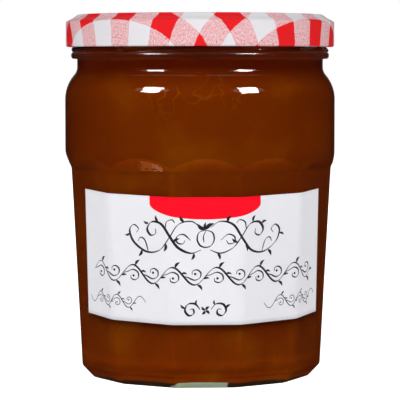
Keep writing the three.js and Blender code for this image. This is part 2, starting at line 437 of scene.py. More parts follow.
lidShell = {
    "radius": 43.15 * mm,
    "wall": 0.7 * mm,
    "rimInner": 33.2 * mm,
    "rimOuter": 39.2 * mm,
    "bevelBreak": 40.85 * mm,
    "bevelBreakDrop": 1.15 * mm,
    "bevelDrop": 2.3 * mm,
    "panelDrop": 0.6 * mm,
    "buttonRadius": 10 * mm,
    "buttonDrop": 0.25 * mm,
    "curl": 0.6 * mm,
    "segments": 288,
    "sheetAtRim": 39.2 * mm,  # radius on the flat sheet before the lid was drawn
    "sheetAtSkirt": 42.0 * mm,
    "skirtStretch": 1.1,
    "skirtThinning": 35.0,
    "pulledAzimuth": radians(-25),  # side on which the print was drawn down a little further
    "pulled": 0.9 * mm,
    "bandPeriod": 14.9 * mm,
    "bandShare": 0.487,
    "acrossTurn": radians(55),
    "acrossMiddle": 0.2 * mm,
    "alongTurn": radians(-40.9),
    "alongMiddle": 9.0 * mm,
    "threadPitch": 0.6 * mm,
    "threadDepth": 0.09,
    "threadWander": 2.6,
    "raggedEdge": 0.09 * mm,
    "bandSoftness": 0.006,
    "white": (0.70, 0.685, 0.715, 1),
    "red": (0.74, 0.008, 0.012, 1),
    "halfTone": 0.405,
    "speckle": 0.5,
    "faintSpeckle": 0.11,
    "raggedScale": 900.0,
    "wanderScale": 180.0,
    "speckleScale": 1900.0,
    "sheenScale": 260.0,
    "dentScale": 700.0,
    "dentStrength": 0.08,
    "roughness": 0.36,
    "coat": 0.06,
    "coatRoughness": 0.12,
    "specular": 0.25,
}


def lidOutline():
    top = lidHigh[2]
    bottom = lidLow[2]
    radius = lidShell["radius"]
    panelTop = top - lidShell["panelDrop"]
    rimInner = lidShell["rimInner"]
    curl = lidShell["curl"]
    skirtInner = radius - lidShell["wall"]
    underside = panelTop - lidShell["wall"]
    outside = [
        (0.5 * mm, panelTop - lidShell["buttonDrop"], 0),
        (lidShell["buttonRadius"] - 1 * mm, panelTop - lidShell["buttonDrop"], 1.2 * mm),
        (lidShell["buttonRadius"], panelTop, 1.2 * mm),
        (rimInner - 1 * mm, panelTop, 0.7 * mm),
        (rimInner, top, 0.7 * mm),
        (lidShell["rimOuter"], top, 1.2 * mm),
        (lidShell["bevelBreak"], top - lidShell["bevelBreakDrop"], 1.0 * mm),
        (radius, top - lidShell["bevelDrop"], 0.8 * mm),
        (radius, bottom + curl, 0),
    ]
    curlEdge = arc((radius - curl, bottom + curl), (curl, curl), spread(0, -pi, 12)[1:])
    inside = [
        (radius - 2 * curl, bottom + 1.6 * curl, 0),
        (skirtInner, bottom + 3 * curl, 0.5 * mm),
        (skirtInner, top - lidShell["bevelDrop"] - 0.6 * mm, 0.8 * mm),
        (radius - 3.4 * mm, underside, 0.8 * mm),
        (0.5 * mm, underside, 0),
    ]
    return divided(roundedPath(outside), 1.2 * mm) + curlEdge + divided(roundedPath(inside), 4 * mm)


# Distance from the middle on the flat printed sheet, which was drawn down into the skirt
def sheetRadius(radius, height):
    skirtTop = lidHigh[2] - lidShell["bevelDrop"]
    if height < skirtTop:
        down = skirtTop - height
        return lidShell["sheetAtSkirt"] + down * (lidShell["skirtStretch"] - lidShell["skirtThinning"] * down)
    if radius < lidShell["rimOuter"]:
        return radius * lidShell["sheetAtRim"] / lidShell["rimOuter"]
    share = (radius - lidShell["rimOuter"]) / (lidShell["radius"] - lidShell["rimOuter"])
    return lerp(lidShell["sheetAtRim"], lidShell["sheetAtSkirt"], share)


def buildLid():
    outline = lidOutline()
    azimuths = [2 * pi * i / lidShell["segments"] for i in range(lidShell["segments"])]
    vertices = [(0, 0, outline[0][1])]
    printed = [(0, 0, 0)]
    for radius, height in outline:
        sheet = sheetRadius(radius, height)
        for azimuth in azimuths:
            vertices.append(around(radius, azimuth, height))
            towards = max(0, cos(azimuth - lidShell["pulledAzimuth"])) ** 8
            reach = sheet + lidShell["pulled"] * towards * smoothStep(sheet / lidShell["sheetAtRim"])
            printed.append(around(reach, azimuth, 0))
    vertices.append((0, 0, outline[-1][1]))
    printed.append((0, 0, 0))
    # This outline starts at the top, so its faces are turned over
    faces = [(face[0],) + face[:0:-1] for face in stackFaces(len(outline), len(azimuths))]
    return printedObject("ginghamLid", vertices, faces, printed)


# Paper label, a flat rectangle folded round the facets

paperLabel = {
    "length": 92.1 * mm,
    "bottom": 20.2 * mm,
    "top": 59.6 * mm,
    "shift": -0.3 * mm,
    "lean": 0.3 * mm,            # the ends lean to the right towards the bottom
    "gap": 0.04 * mm,
    "thickness": 0.12 * mm,
    "columns": 240,
    "rows": 26,
    "paper": (0.775, 0.77, 0.805, 1),
    "shade": (0.72, 0.715, 0.755, 1),
    "red": (0.93, 0.002, 0.016, 1),
    "tabMiddle": 0.2 * mm,
    "tabHalf": 17.95 * mm,
    "tabHeight": 6.85 * mm,
    "tabShoulder": 2.2 * mm,
    "cloudScale": 120.0,
    "cloudShare": 0.45,
    "sheenScale": 400.0,
    "fibreScale": 1600.0,
    "fibreStrength": 0.12,
    "roughness": 0.62,
    "specular": 0.12,
}
labelMiddle = (paperLabel["bottom"] + paperLabel["top"]) / 2
slopeOfMiddle = (labelMiddle - apexHeight) / cos(facetTaper)
labelRise = (paperLabel["top"] - paperLabel["bottom"]) / cos(facetTaper)
unrolledHalfFacet = atan(tan(halfFacet) * sin(facetTaper))


# Place on the folded sheet: across and up from the label's middle, offset from the glass
def foldedPoint(across, up, offset):
    fromApex = slopeOfMiddle + up
    sideways = across + paperLabel["shift"]
    unrolled = atan2(sideways, fromApex)
    facet = round(unrolled / (2 * unrolledHalfFacet))
    local = unrolled - facet * 2 * unrolledHalfFacet
    reach = hypot(sideways, fromApex)
    apothem = reach * cos(local) * sin(facetTaper)
    angle = atan(reach * sin(local) / apothem)
    azimuth = jarGlass["turn"] + facet * 2 * halfFacet + angle
    radius = sectionRadius(angle, apothem, jarGlass["outerCorner"], jarGlass["bodyRadius"]) + offset
    return around(radius, azimuth, apexHeight + reach * cos(local) * cos(facetTaper))


def buildLabel():
    inner = paperLabel["gap"]
    outer = inner + paperLabel["thickness"]
    columns = spread(-paperLabel["length"] / 2, paperLabel["length"] / 2, paperLabel["columns"])
    rows = spread(-labelRise / 2, labelRise / 2, paperLabel["rows"])
    vertices = []
    places = []
    for offset in (outer, inner):
        for across in columns:
            for up in rows:
                lean = paperLabel["lean"] * up / rows[-1]
                vertices.append(foldedPoint(across - lean, up, offset))
                places.append((across, up, 0))
    sheetSize = len(columns) * len(rows)
    faces = []
    for i in range(len(columns) - 1):
        for j in range(len(rows) - 1):
            a = i * len(rows) + j
            b = a + len(rows)
            faces.append((a, b, b + 1, a + 1))
            faces.append((a + sheetSize, a + 1 + sheetSize, b + 1 + sheetSize, b + sheetSize))
    lastColumn = (len(columns) - 1) * len(rows)
    rim = list(range(len(rows)))
    rim += [i * len(rows) + len(rows) - 1 for i in range(1, len(columns))]
    rim += [lastColumn + j for j in range(len(rows) - 2, -1, -1)]
    rim += [i * len(rows) for i in range(len(columns) - 2, 0, -1)]
    for a, b in zip(rim, rim[1:] + rim[:1]):
        faces.append((a, b, b + sheetSize, a + sheetSize))
    return printedObject("paperLabel", vertices, faces, places)


# Pen ornament printed on the label: mirrored scrolls, a leafy vine and small sprigs

penOrnament = {
    "penAngle": radians(40),
    "thin": 0.17 * mm,
    "step": 0.45 * mm,
    "sunk": -0.03 * mm,
    "proud": 0.015 * mm,
    "leafFoot": 0.06 * mm,
    "leafBow": 0.14,
    "rowOne": 7.4 * mm,
    "rowTwo": -4.6 * mm,
    "rowThree": -14.6 * mm,
    "vineReach": 41.0,
    "ink": (0.0150, 0.0130, 0.0165, 1),
    "worn": (0.034, 0.031, 0.037, 1),
    "wornScale": 900.0,
    "roughness": (0.5, 0.65),
    "roughScale": 500.0,
    "specular": 0.25,
}
# Scrolls of the right half, in millimetres from the middle of the first row: width and way points
scrolls = [
    (0.85, [(1.4, -3.9), (4.6, -4.9), (8.4, -3.2), (11.2, 0.4), (14.0, 3.9), (17.2, 4.4),
            (18.8, 2.2), (17.6, 0.3), (15.9, 0.9), (16.0, 2.4)]),
    (0.75, [(1.6, 3.0), (4.4, 4.9), (8.4, 3.9), (11.4, -0.4), (14.6, -4.2), (19.0, -4.9),
            (23.4, -2.2), (24.9, 1.4), (23.4, 3.2), (21.8, 2.0), (22.6, 0.8)]),
    (0.5, [(4.6, -0.9), (6.8, 0.9), (8.8, 0.2), (8.7, -1.6), (7.0, -2.0), (6.3, -0.9)]),
    (0.45, [(18.4, -4.8), (19.6, -1.4), (21.2, -0.6), (22.0, -1.9)]),
    (0.45, [(12.6, 2.2), (12.2, 4.6), (10.4, 5.4), (9.4, 4.4)]),
]
# Leaves on them: place, lean in degrees, length
scrollLeaves = [
    (6.6, 4.7, 60, 2.4), (9.9, -1.5, 150, 2.2), (12.4, -2.0, -75, 2.6), (15.0, 4.5, 65, 2.2),
    (20.6, -4.4, -60, 2.4), (3.6, -4.9, -70, 2.2), (18.3, 3.9, 20, 1.9), (24.9, 0.4, -20, 1.8),
]
# Curl of the running scroll: angles in degrees, and sizes that shrink inwards
curlTurns = [(150, 0.86), (95, 0.74), (40, 0.68), (-15, 0.62), (-70, 0.54), (-130, 0.44), (-190, 0.32)]


# Smooth curve through way points, in even steps
def penPath(points):
    ends = [2 * points[0] - points[1]] + points + [2 * points[-1] - points[-2]]
    path = []
    for a, b, c, d in zip(ends, ends[1:], ends[2:], ends[3:]):
        count = max(2, ceil((c - b).length / penOrnament["step"]))
        for i in range(count):
            t = i / count
            path.append(0.5 * (2 * b + (c - a) * t + (2 * a - 5 * b + 4 * c - d) * t * t
                               + (3 * b - a - 3 * c + d) * t * t * t))
    return path + [points[-1]]


# Each stroke is a thin closed strip laid on the folded paper
def addStrip(strips, path, widths):
    vertices, faces = strips
    first = len(vertices)
    surface = paperLabel["gap"] + paperLabel["thickness"]
    for i, (point, width) in enumerate(zip(path, widths)):
        along = (path[min(i + 1, len(path) - 1)] - path[max(i - 1, 0)]).normalized()
        side = Vector((-along[1], along[0])) * width / 2
        for offset in (penOrnament["proud"], penOrnament["sunk"]):
            for edge in (point + side, point - side):
                vertices.append(foldedPoint(edge[0], edge[1], surface + offset))
    last = first + 4 * (len(path) - 1)
    faces.append((first, first + 2, first + 3, first + 1))
    faces.append((last, last + 1, last + 3, last + 2))
    for a in range(first, last, 4):
        for i, j in ((0, 1), (1, 3), (3, 2), (2, 0)):
            faces.append((a + i, a + j, a + 4 + j, a + 4 + i))


def penStroke(strips, points, thick):
    path = penPath(points)
    thin = penOrnament["thin"]
    widths = []
    for i in range(len(path)):
        along = path[min(i + 1, len(path) - 1)] - path[max(i - 1, 0)]
        lean = abs(sin(atan2(along[1], along[0]) - penOrnament["penAngle"]))
        ends = smoothStep(4 * min(i, len(path) - 1 - i) / len(path) + 0.15)
        widths.append(thin + (thick - thin) * lean * ends)
    addStrip(strips, path, widths)


def towards(angle):
    return Vector((cos(angle), sin(angle)))


def penLeaf(strips, root, degrees, length, fullness=0.36):
    angle = radians(degrees)
    tip = root + towards(angle) * length
    bow = towards(angle + pi / 2) * length * penOrnament["leafBow"]
    path = penPath([root, (root + tip) / 2 + bow, tip])
    shares = spread(0, 1, len(path))
    widths = [penOrnament["leafFoot"] + length * fullness * sin(pi * t ** 0.8) for t in shares]
    addStrip(strips, path, widths)


def penDot(strips, middle, radius):
    rows = spread(0, pi, 9)
    path = [middle + Vector((-cos(a) * radius, 0)) for a in rows]
    addStrip(strips, path, [0.02 * mm + 2 * radius * sin(a) for a in rows])


# Point so many millimetres across and up from the middle of a row
def beside(middle, across, up):
    return middle + Vector((across, up)) * mm


def drawScrolls(strips):
    middle = Vector((0, penOrnament["rowOne"]))
    for side in (-1, 1):
        for thick, points in scrolls:
            penStroke(strips, [beside(middle, side * x, y) for x, y in points], thick * mm)
        for x, y, degrees, length in scrollLeaves:
            lean = degrees if side > 0 else 180 - degrees
            penLeaf(strips, beside(middle, side * x, y), lean, length * mm)
    half = [(0, 2.2), (2.0, 1.5), (2.6, -0.6), (1.7, -2.5), (0, -3.1)]
    fruit = [(-x, y) for x, y in half] + half[-2::-1]
    penStroke(strips, [beside(middle, *p) for p in fruit], 0.55 * mm)
    penStroke(strips, [beside(middle, *p) for p in ((0.1, 2.1), (-0.7, 0.3), (-0.5, -1.6))], 0.4 * mm)
    for degrees, length in ((35, 3.2), (145, 3.2), (90, 2.2)):
        penLeaf(strips, beside(middle, 0, 2.4), degrees, length * mm)


# Running scroll: a wavy stem with a curl inside every bend and a small leaf on the outside
def drawVine(strips, middle, reach, wave, swing, thick):
    steps = spread(-reach, reach, round(2 * reach / (wave / 10)))
    penStroke(strips, [beside(middle, x, swing * sin(2 * pi * x / wave)) for x in steps], thick)
    half = wave / 2
    for k in range(floor(-reach / half) + 1, floor(reach / half)):
        up = 1 if k % 2 == 0 else -1
        bend = beside(middle, (k + 0.5) * half, 0)
        curl = [beside(bend, -0.5 * half, 0)]
        for degrees, size in curlTurns:
            across, above = towards(radians(degrees)) * size
            curl.append(beside(bend, half * (0.42 * across + 0.03), up * swing * (0.95 * above - 0.25)))
        penStroke(strips, curl, thick * 0.8)
        penDot(strips, beside(bend, 0.03 * half, -0.25 * swing * up), 0.055 * half * mm)
        penLeaf(strips, beside(bend, 0.12 * half, 0.97 * swing * up), 48 * up, 0.34 * half * mm, 0.34)
        penLeaf(strips, beside(bend, 0.42 * half, 0.32 * swing * up), -8 * up, 0.26 * half * mm, 0.34)


# Small bold middle sprig: a four-petalled flower between two curls
def drawSprig(strips, middle):
    curl = [(1.6, 0.2), (3.2, 2.0), (5.4, 1.9), (6.3, 0.0), (5.1, -1.6), (3.6, -1.0), (3.8, 0.4), (4.8, 0.3)]
    for side in (-1, 1):
        penStroke(strips, [beside(middle, side * x, y) for x, y in curl], 0.75 * mm)
        penLeaf(strips, beside(middle, side * 6.2, 0.6), 90 - side * 50, 1.9 * mm)
        penLeaf(strips, beside(middle, side * 2.9, 1.7), 90 + side * 10, 1.6 * mm)
    for degrees in (45, 135, 225, 315):
        penLeaf(strips, middle + towards(radians(degrees)) * 0.08 * mm, degrees, 1.6 * mm, 0.5)


def buildOrnament():
    strips = ([], [])
    drawScrolls(strips)
    drawVine(strips, Vector((0, penOrnament["rowTwo"])), penOrnament["vineReach"], 13.6, 2.7, 0.62 * mm)
    low = penOrnament["rowThree"]
    for side in (-1, 1):
        drawVine(strips, beside(Vector((0, low)), side * 31.6, 1.1), 12.2, 8.2, 1.9, 0.3 * mm)
    drawSprig(strips, Vector((0, low - 0.6 * mm)))
    return smoothObject("penOrnament", *strips)


# Shader helpers

def addNode(tree, kind, **settings):
    node = tree.nodes.new(kind)
    for key, value in settings.items():
        setattr(node, key, value)
    return node


# A value may be a number or the socket that gives it. The sockets know the node tree that they are in.
def feed(socket, value):
    if isinstance(value, bpy.types.NodeSocket):
        socket.id_data.links.new(value, socket)
    else:
        socket.default_value = value


def treeOf(*values):
    return next(value.id_data for value in values if isinstance(value, bpy.types.NodeSocket))


def mathNode(operation, a, b=0.0):
    node = addNode(treeOf(a, b), "ShaderNodeMath", operation=operation)
    feed(node.inputs[0], a)
    feed(node.inputs[1], b)
    return node.outputs[0]


def add(a, b):
    return mathNode("ADD", a, b)


def subtract(a, b):
    return mathNode("SUBTRACT", a, b)


def multiply(a, b):
    return mathNode("MULTIPLY", a, b)


def larger(a, b):
    return mathNode("MAXIMUM", a, b)


def absolute(value):
    return mathNode("ABSOLUTE", value)


# Sum of the squares of two values
def squares(a, b):
    return add(multiply(a, a), multiply(b, b))


def rangeNode(value, low, high, first=0.0, last=1.0):
    node = addNode(value.id_data, "ShaderNodeMapRange", clamp=True)
    for socket, item in zip(node.inputs, (value, low, high, first, last)):
        feed(socket, item)
    return node.outputs["Result"]


def mixColour(share, a, b):
    node = addNode(treeOf(share, a, b), "ShaderNodeMix", data_type="RGBA")
    feed(node.inputs["Factor"], share)
    feed(node.inputs[6], a)
    feed(node.inputs[7], b)
    return node.outputs[2]


def preset(node, values):
    for name, value in values.items():
        node.inputs[name].default_value = value


# Mottle shared by all the finishes: a cloudy value between Low and High
def mottleGroup():
    group = bpy.data.node_groups.new("surfaceMottle", "ShaderNodeTree")
    group.interface.new_socket("Place", in_out="INPUT", socket_type="NodeSocketVector")
    for name in ("Scale", "Low", "High", "Softness"):
        group.interface.new_socket(name, in_out="INPUT", socket_type="NodeSocketFloat")
    group.interface.new_socket("Amount", in_out="OUTPUT", socket_type="NodeSocketFloat")
    source = addNode(group, "NodeGroupInput")
    result = addNode(group, "NodeGroupOutput")
    cloud = addNode(group, "ShaderNodeTexNoise")
    preset(cloud, {"Detail": 4})
    feed(cloud.inputs["Vector"], source.outputs["Place"])
    feed(cloud.inputs["Scale"], source.outputs["Scale"])
    feed(cloud.inputs["Roughness"], source.outputs["Softness"])
    amount = rangeNode(cloud.outputs["Fac"], 0.3, 0.7, source.outputs["Low"], source.outputs["High"])
    feed(result.inputs["Amount"], amount)
    return group


surfaceMottle = mottleGroup()


def mottle(place, scale, low=0.0, high=1.0, softness=0.5):
    node = addNode(place.id_data, "ShaderNodeGroup")
    node.node_tree = surfaceMottle
    for socket, value in zip(node.inputs, (place, scale, low, high, softness)):
        feed(socket, value)
    return node.outputs["Amount"]


def newMaterial(name):
    material = bpy.data.materials.new(name)
    material.use_nodes = True
    tree = material.node_tree
    shader = tree.nodes["Principled BSDF"]
    return material, tree, shader


def objectPlace(tree):
    return addNode(tree, "ShaderNodeTexCoord").outputs["Object"]


def sheetPlace(tree):
    return addNode(tree, "ShaderNodeAttribute", attribute_name="sheetPlace").outputs["Vector"]


def splitUp(vector):
    parts = addNode(vector.id_data, "ShaderNodeSeparateXYZ")
    feed(parts.inputs[0], vector)
    return parts.outputs


def paint(shader, colour, rough):
    feed(shader.inputs["Base Color"], colour)
    feed(shader.inputs["Roughness"], rough)


def addBump(shader, height, strength, distance):
    bump = addNode(shader.id_data, "ShaderNodeBump")
    preset(bump, {"Strength": strength, "Distance": distance})
    feed(bump.inputs["Height"], height)
    feed(shader.inputs["Normal"], bump.outputs["Normal"])


# Another shader in place of the first, for the rays that the share picks out
def mixShaders(share, first, other):
    tree = share.id_data
    mix = addNode(tree, "ShaderNodeMixShader")
    for socket, value in zip(mix.inputs, (share, first.outputs[0], other.outputs[0])):
        feed(socket, value)
    feed(tree.nodes["Material Output"].inputs["Surface"], mix.outputs[0])


# Clear glass. Lamps shine through it on to the jam, and its skin waves a little.
def glassMaterial():
    material, tree, shader = newMaterial("clearJarGlass")
    place = objectPlace(tree)
    cloud = mottle(place, jarGlass["tintScale"])
    colour = mixColour(cloud, jarGlass["tint"], jarGlass["palerTint"])
    fromBead = absolute(subtract(splitUp(place)["Z"], jarGlass["beadHeight"]))
    roughs = (jarGlass["beadRoughness"], jarGlass["roughness"])
    paint(shader, colour, rangeNode(fromBead, *jarGlass["beadReach"], *roughs))
    preset(shader, {"IOR": jarGlass["ior"], "Transmission Weight": 1})
    ripple = mottle(place, jarGlass["rippleScale"], 0.0, 1.0, 0.6)
    addBump(shader, ripple, jarGlass["rippleStrength"], jarGlass["rippleHeight"])
    shadow = addNode(tree, "ShaderNodeLightPath").outputs["Is Shadow Ray"]
    mixShaders(shadow, shader, addNode(tree, "ShaderNodeBsdfTransparent"))
    return material


# Thin wandering strands of fruit, drawn out along a leaning direction
def strandMask(place):
    turned = addNode(place.id_data, "ShaderNodeMapping")
    feed(turned.inputs["Vector"], place)
    preset(turned, {"Rotation": jamFill["strandLean"], "Scale": jamFill["strandSize"]})
    bend = addNode(place.id_data, "ShaderNodeTexNoise")
    preset(bend, {"Scale": jamFill["strandScale"], "Detail": 2, "Distortion": 0.8})
    feed(bend.inputs["Vector"], turned.outputs["Vector"])
    ridge = absolute(subtract(bend.outputs["Fac"], 0.5))
    return rangeNode(ridge, 0.0, jamFill["strandWidth"], 1.0, 0.0)


# Painted light on the jam: paler behind the arches at the top of the facets, a painted highlight along the
# corners between them, and paler towards the base and the heel
def paintedFacetLight(parts):
    azimuth = mathNode("ARCTAN2", parts["X"], multiply(parts["Y"], -1.0))
    turned = add(azimuth, halfFacet - jarGlass["turn"])
    inFacet = subtract(mathNode("FLOORED_MODULO", turned, 2 * halfFacet), halfFacet)
    height = parts["Z"]
    arch = (jarGlass["creaseHeight"], jarGlass["archHeight"])
    apothem = rangeNode(height, *arch, jarGlass["creaseApothem"], jarGlass["bodyRadius"])
    flatReach = multiply(mathNode("COSINE", inFacet), jarGlass["bodyRadius"])
    insideArch = rangeNode(subtract(flatReach, apothem), 0.0, jamFill["archEdge"])
    aboveCrease = rangeNode(height, arch[0] - 0.3 * mm, arch[0] + 0.1 * mm)
    lens = multiply(insideArch, aboveCrease)
    lens = multiply(lens, rangeNode(height, *arch, 0.5, 1.0))
    lens = multiply(lens, rangeNode(absolute(parts["X"]), *jamFill["archReach"], 1.0, 0.1))
    fromCorner = subtract(halfFacet, absolute(inFacet))
    corner = rangeNode(fromCorner, *jamFill["cornerWidth"], 1.0, 0.0)
    corner = multiply(corner, subtract(1.0, aboveCrease))
    glow = multiply(lens, jamFill["archPaintedLight"])
    glow = add(glow, multiply(corner, jamFill["cornerPaintedHighlight"]))
    for low in ("basePaintedLight", "heelPaintedLight"):
        glow = add(glow, rangeNode(height, *jamFill[low + "Heights"], jamFill[low], 0.0))
    return glow


# Share of the strands: most of them hang in one place near the top
def strandShare(parts):
    middle = jamFill["strandMiddle"]
    reach = jamFill["strandReach"]
    aside = mathNode("DIVIDE", subtract(parts["X"], middle[0]), reach[0])
    above = mathNode("DIVIDE", subtract(parts["Z"], middle[1]), reach[1])
    return rangeNode(squares(aside, above), 0.1, 1.3, *jamFill["strandShare"])


# Underside, seen through the thick base: painted light, pale where daylight comes straight through, and
# painted shade beside it
def paintedUndersideLight(parts):
    alongX = multiply(parts["X"], cos(jarGlass["turn"]))
    alongY = multiply(parts["Y"], sin(jarGlass["turn"]))
    aside = absolute(subtract(add(alongX, alongY), jamFill["undersideMiddle"]))
    half = jamFill["undersideHalf"]
    between = rangeNode(aside, half - 0.5 * mm, half, 1.0, 0.0)
    return mixColour(between, jamFill["undersidePaintedShade"], jamFill["underside"])


def undersideMask(parts):
    top = jamFill["undersideTop"]
    reach = jamFill["undersideReach"]
    lowest = rangeNode(parts["Z"], top - 0.03 * mm, top, 1.0, 0.0)
    fromAxis = squares(multiply(parts["X"], jamFill["undersideFlattening"]), parts["Y"])
    inward = rangeNode(mathNode("SQRT", fromAxis), reach - 1.2 * mm, reach, 1.0, 0.0)
    return multiply(lowest, inward)


# Set jam: cloudy amber with paler fruit and strands, and painted shade that makes it darker at the sides and
# towards the neck
def jamMaterial():
    material, tree, shader = newMaterial("apricotJam")
    place = objectPlace(tree)
    parts = splitUp(place)
    cloud = mottle(place, jamFill["cloudScale"], 0.0, 1.0, 0.55)
    # Painted shade: darker towards the sides, added to the cloudy tone
    side = rangeNode(absolute(parts["X"]), *jamFill["sideReach"])
    cloudToneAndSideShade = multiply(cloud, jamFill["cloudDepth"])
    cloudToneAndSideShade = add(cloudToneAndSideShade, multiply(side, jamFill["sideShade"]))
    body = mixColour(mathNode("MINIMUM", cloudToneAndSideShade, 1.0), jamFill["deep"], jamFill["dark"])
    strands = multiply(strandMask(place), mottle(place, jamFill["fruitScale"], -0.1, 1.5))
    strands = multiply(strands, strandShare(parts))
    soft = mottle(place, jamFill["softFruitScale"], -1.0, 1.0)
    fruit = larger(strands, multiply(soft, jamFill["softFruitShare"]))
    body = mixColour(multiply(fruit, subtract(1.0, side)), body, jamFill["fruit"])
    # Painted shade towards the neck, then painted light behind the thread where the lid shades the jam
    for heights, colour in (("neckShadeHeights", "neck"), ("threadPaintedLightHeights", "threadPaintedLight")):
        body = mixColour(rangeNode(parts["Z"], *jamFill[heights]), body, jamFill[colour])
    # Painted light: the jam made paler behind the arches, along the facet corners and towards the base
    paintedLitBody = addNode(tree, "ShaderNodeVectorMath", operation="SCALE")
    feed(paintedLitBody.inputs[0], body)
    feed(paintedLitBody.inputs["Scale"], add(paintedFacetLight(parts), 1.0))
    # Painted light and shade on the underside, seen through the base
    colour = mixColour(undersideMask(parts), paintedLitBody.outputs[0], paintedUndersideLight(parts))
    feed(shader.inputs["Base Color"], colour)
    preset(shader, {
        "Roughness": jamFill["roughness"],
        "Specular IOR Level": jamFill["specular"],
        "Subsurface Weight": jamFill["scatter"],
        "Subsurface Radius": jamFill["scatterDepth"],
        "Subsurface Scale": jamFill["scatterScale"],
    })
    return material


# Gingham laid out on the flat sheet: two families of bands, solid red where they cross
def bandMask(place, family, ragged):
    turn = lidShell[family + "Turn"]
    along = addNode(place.id_data, "ShaderNodeVectorMath", operation="DOT_PRODUCT")
    feed(along.inputs[0], place)
    along.inputs[1].default_value = (sin(turn), -cos(turn), 0)
    distance = subtract(add(along.outputs["Value"], ragged), lidShell[family + "Middle"])
    cycle = mathNode("DIVIDE", distance, lidShell["bandPeriod"])
    phase = mathNode("FRACT", add(cycle, 20.5))
    fromMiddle = absolute(subtract(phase, 0.5))
    edge = lidShell["bandShare"] / 2
    soft = lidShell["bandSoftness"]
    return along.outputs["Value"], rangeNode(fromMiddle, edge - soft, edge + soft, 1.0, 0.0)


def threadLines(distance, wander):
    turns = multiply(distance, 2 * pi / lidShell["threadPitch"])
    wave = mathNode("SINE", add(turns, multiply(wander, lidShell["threadWander"])))
    return multiply(wave, lidShell["threadDepth"])


def lidMaterial():
    material, tree, shader = newMaterial("ginghamLacquer")
    place = sheetPlace(tree)
    ragged = mottle(place, lidShell["raggedScale"], -lidShell["raggedEdge"], lidShell["raggedEdge"])
    acrossAt, across = bandMask(place, "across", ragged)
    alongAt, along = bandMask(place, "along", ragged)
    wander = mottle(place, lidShell["wanderScale"], -1.0, 1.0, 0.6)
    speckle = mottle(place, lidShell["speckleScale"], -lidShell["speckle"], lidShell["speckle"], 0.7)
    weave = add(threadLines(alongAt, wander), threadLines(acrossAt, wander))
    tone = add(add(weave, speckle), lidShell["halfTone"])
    tone = multiply(larger(across, along), tone)
    faint = multiply(larger(speckle, 0.0), lidShell["faintSpeckle"])
    red = larger(larger(tone, multiply(across, along)), faint)
    red = rangeNode(red, 0.0, 1.0)
    rough = lidShell["roughness"]
    sheen = mottle(place, lidShell["sheenScale"], rough - 0.04, rough + 0.06, 0.6)
    paint(shader, mixColour(red, lidShell["white"], lidShell["red"]), sheen)
    preset(shader, {
        "Specular IOR Level": lidShell["specular"],
        "Coat Weight": lidShell["coat"],
        "Coat Roughness": lidShell["coatRoughness"],
    })
    addBump(shader, mottle(place, lidShell["dentScale"]), lidShell["dentStrength"], 0.02 * mm)
    return material


# Uncoated label paper with a plain printed tab
def paperMaterial():
    material, tree, shader = newMaterial("labelPaper")
    place = sheetPlace(tree)
    parts = splitUp(place)
    cloud = mottle(place, paperLabel["cloudScale"], 0.0, 1.0, 0.6)
    paper = mixColour(cloud, paperLabel["paper"], paperLabel["shade"])
    paper = mixColour(paperLabel["cloudShare"], paperLabel["paper"], paper)
    shoulder = paperLabel["tabShoulder"]
    aside = subtract(parts["X"], paperLabel["tabMiddle"])
    across = mathNode("DIVIDE", aside, paperLabel["tabHalf"])
    below = larger(subtract(labelRise / 2 - shoulder, parts["Y"]), 0.0)
    down = mathNode("DIVIDE", below, paperLabel["tabHeight"] - shoulder)
    tab = rangeNode(squares(across, down), 0.985, 1.015, 1.0, 0.0)
    rough = paperLabel["roughness"]
    sheen = mottle(place, paperLabel["sheenScale"], rough - 0.05, rough + 0.08, 0.6)
    paint(shader, mixColour(tab, paper, paperLabel["red"]), sheen)
    preset(shader, {"Specular IOR Level": paperLabel["specular"]})
    fibres = mottle(place, paperLabel["fibreScale"], 0.0, 1.0, 0.7)
    addBump(shader, fibres, paperLabel["fibreStrength"], 0.03 * mm)
    return material


# Dark ink, a little worn in places
def inkMaterial():
    material, tree, shader = newMaterial("penInk")
    place = objectPlace(tree)
    worn = mottle(place, penOrnament["wornScale"], 0.0, 0.8, 0.7)
    colour = mixColour(worn, penOrnament["ink"], penOrnament["worn"])
    paint(shader, colour, mottle(place, penOrnament["roughScale"], *penOrnament["roughness"], 0.6))
    preset(shader, {"Specular IOR Level": penOrnament["specular"]})
    return material


def dress(obj, material, node):
    obj.data.materials.append(material)
    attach(obj, "root")
    if node:
        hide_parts(node)


clearJar = buildGlass()
dress(clearJar, glassMaterial(), "jar_glass")
print("clear jar built")
dress(buildJam(), jamMaterial(), "jam")
print("jam built")
dress(buildLid(), lidMaterial(), "lid")
print("lid built")
dress(buildLabel(), paperMaterial(), "label")
print("label built")
dress(buildOrnament(), inkMaterial(), None)
print("ornament drawn")


# Studio: pale floor, soft light, camera at the viewing angle of the photograph

